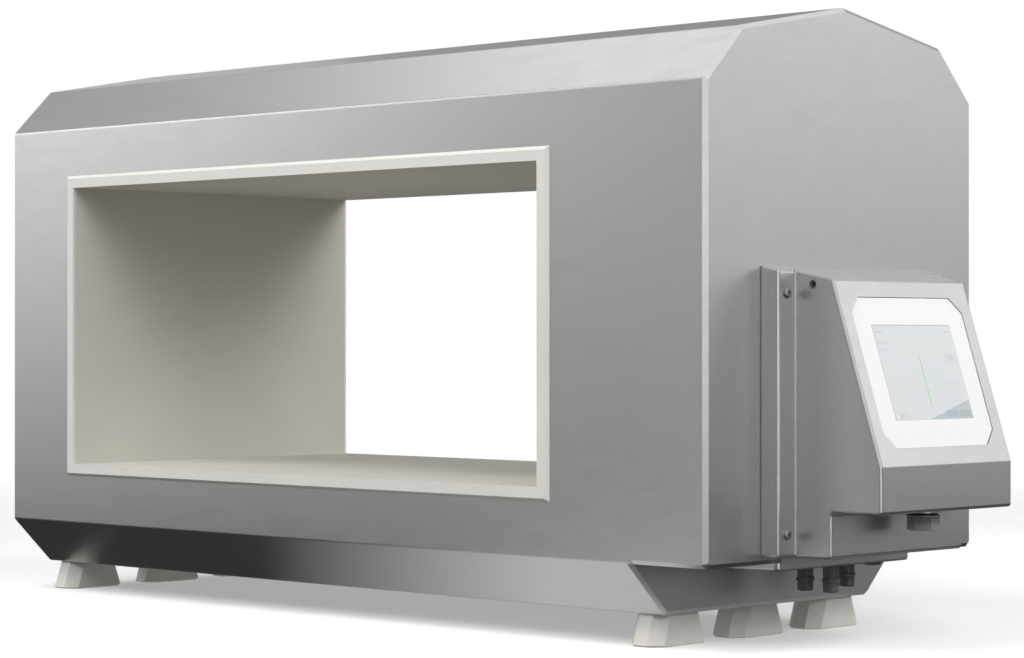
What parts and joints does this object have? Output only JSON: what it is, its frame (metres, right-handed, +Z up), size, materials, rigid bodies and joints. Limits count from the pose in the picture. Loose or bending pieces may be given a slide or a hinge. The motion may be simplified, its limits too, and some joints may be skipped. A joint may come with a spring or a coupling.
{
  "type": "conveyor metal detector",
  "caption": "Tunnel-type metal detector head in folded stainless steel on insulating feet, with a plastic-lined aperture and a touch-screen control unit on its end.",
  "frame": {"origin": "centre of the overall footprint, control unit and tunnel rims included, on the plane of the feet", "axes": "+X towards the end with the control unit, +Y from the front mouth of the tunnel to the rear one, +Z up"},
  "size_m": [1.131, 0.4004, 0.5839],
  "materials": {
    "blasted_steel": "bead-blasted stainless steel, satin, no grain direction",
    "bright_steel": "plain stainless steel, fine turned or rolled finish",
    "dark_metal": "dark grey plated metal, low sheen",
    "liner_plastic": "off-white glass-reinforced plastic, fine matt moulded surface",
    "foot_plastic": "grey-beige machined plastic, matt",
    "coil_copper": "enamelled copper winding, bound",
    "potting_resin": "cast epoxy resin, matt",
    "aluminium": "rolled aluminium sheet, satin",
    "circuit_board": "green solder mask over glass-epoxy laminate",
    "black_rubber": "black moulded rubber, matt",
    "black_plastic": "dark grey moulded plastic, matt",
    "white_bezel": "white printed front foil, semi-gloss",
    "display_window": "lit display behind a clear front, semi-gloss"
  },
  "bodies": {
    "head": {"front_casing": "blasted_steel", "rear_casing": "blasted_steel", "keel_plate": "blasted_steel", "left_end_plate": "blasted_steel", "right_end_plate": "blasted_steel", "keel_end_plate": "blasted_steel", "bay_floor": "blasted_steel", "tunnel_liner": "liner_plastic", "front_rim": "liner_plastic", "rear_rim": "liner_plastic", "coil_former": "liner_plastic", "transmit_coil": "coil_copper", "front_receive_coil": "coil_copper", "rear_receive_coil": "coil_copper", "resin_collar": "potting_resin", "shield_plate": "aluminium", "mounting_plate": "aluminium", "plate_standoffs": "bright_steel", "main_board": "circuit_board", "board_standoffs": "bright_steel", "power_supply": "aluminium", "data_cable": "black_plastic", "cable_grommet": "black_rubber", "foot_front_left": "foot_plastic", "foot_middle_left": "foot_plastic", "foot_rear_left": "foot_plastic", "foot_front_right": "foot_plastic", "foot_middle_right": "foot_plastic", "foot_rear_right": "foot_plastic", "keel_bushes": "bright_steel", "foot_screws": "bright_steel", "cable_tray": "blasted_steel", "gland_spigots": "black_plastic", "gland_rings": "black_rubber", "gland_bodies": "black_plastic", "gland_lock_nuts": "bright_steel", "blanking_plug": "black_plastic", "cover_rails": "bright_steel", "cover_gasket": "black_rubber", "control_cover": "blasted_steel", "cover_screws": "bright_steel", "side_inserts": "black_plastic", "screen_bezel": "white_bezel", "screen_window": "display_window", "screen_gasket": "black_rubber", "screen_frame": "aluminium", "frame_studs": "bright_steel", "display_module": "black_plastic", "display_board": "circuit_board", "port_socket": "bright_steel", "port_lock_nut": "bright_steel", "port_connector": "black_plastic"},
    "cap_seal": {"port_seal": "black_rubber"},
    "cap": {"port_cap": "dark_metal"},
    "seal_1": {"gland_seal_1": "black_rubber"},
    "nut_1": {"gland_nut_1": "black_plastic"},
    "seal_2": {"gland_seal_2": "black_rubber"},
    "nut_2": {"gland_nut_2": "black_plastic"},
    "seal_3": {"gland_seal_3": "black_rubber"},
    "nut_3": {"gland_nut_3": "black_plastic"}
  },
  "joints": [
    {"name": "cap_travel", "type": "slide", "parent": "head", "child": "cap_seal", "axis": [0, 0, -1], "range_m": [0, 0.012]},
    {"name": "cap_turn", "type": "hinge", "parent": "cap_seal", "child": "cap", "pos_m": [0.538, 0, 0.1165], "axis": [0, 0, -1], "range_deg": [0, 2885]},
    {"name": "nut_1_travel", "type": "slide", "parent": "head", "child": "seal_1", "axis": [0, 0, -1], "range_m": [0, 0.006]},
    {"name": "nut_1_turn", "type": "hinge", "parent": "seal_1", "child": "nut_1", "pos_m": [0.4075, -0.005, 0.051], "axis": [0, 0, -1], "range_deg": [0, 1445]},
    {"name": "nut_2_travel", "type": "slide", "parent": "head", "child": "seal_2", "axis": [0, 0, -1], "range_m": [0, 0.006]},
    {"name": "nut_2_turn", "type": "hinge", "parent": "seal_2", "child": "nut_2", "pos_m": [0.4375, -0.005, 0.051], "axis": [0, 0, -1], "range_deg": [0, 1445]},
    {"name": "nut_3_travel", "type": "slide", "parent": "head", "child": "seal_3", "axis": [0, 0, -1], "range_m": [0, 0.006]},
    {"name": "nut_3_turn", "type": "hinge", "parent": "seal_3", "child": "nut_3", "pos_m": [0.4075, 0.057, 0.051], "axis": [0, 0, -1], "range_deg": [0, 1445]}
  ],
  "couplings": [
    {"joint": "cap_turn", "follows": "cap_travel", "rad_per_m": 4188.8},
    {"joint": "nut_1_turn", "follows": "nut_1_travel", "rad_per_m": 4188.8},
    {"joint": "nut_2_turn", "follows": "nut_2_travel", "rad_per_m": 4188.8},
    {"joint": "nut_3_turn", "follows": "nut_3_travel", "rad_per_m": 4188.8}
  ]
}
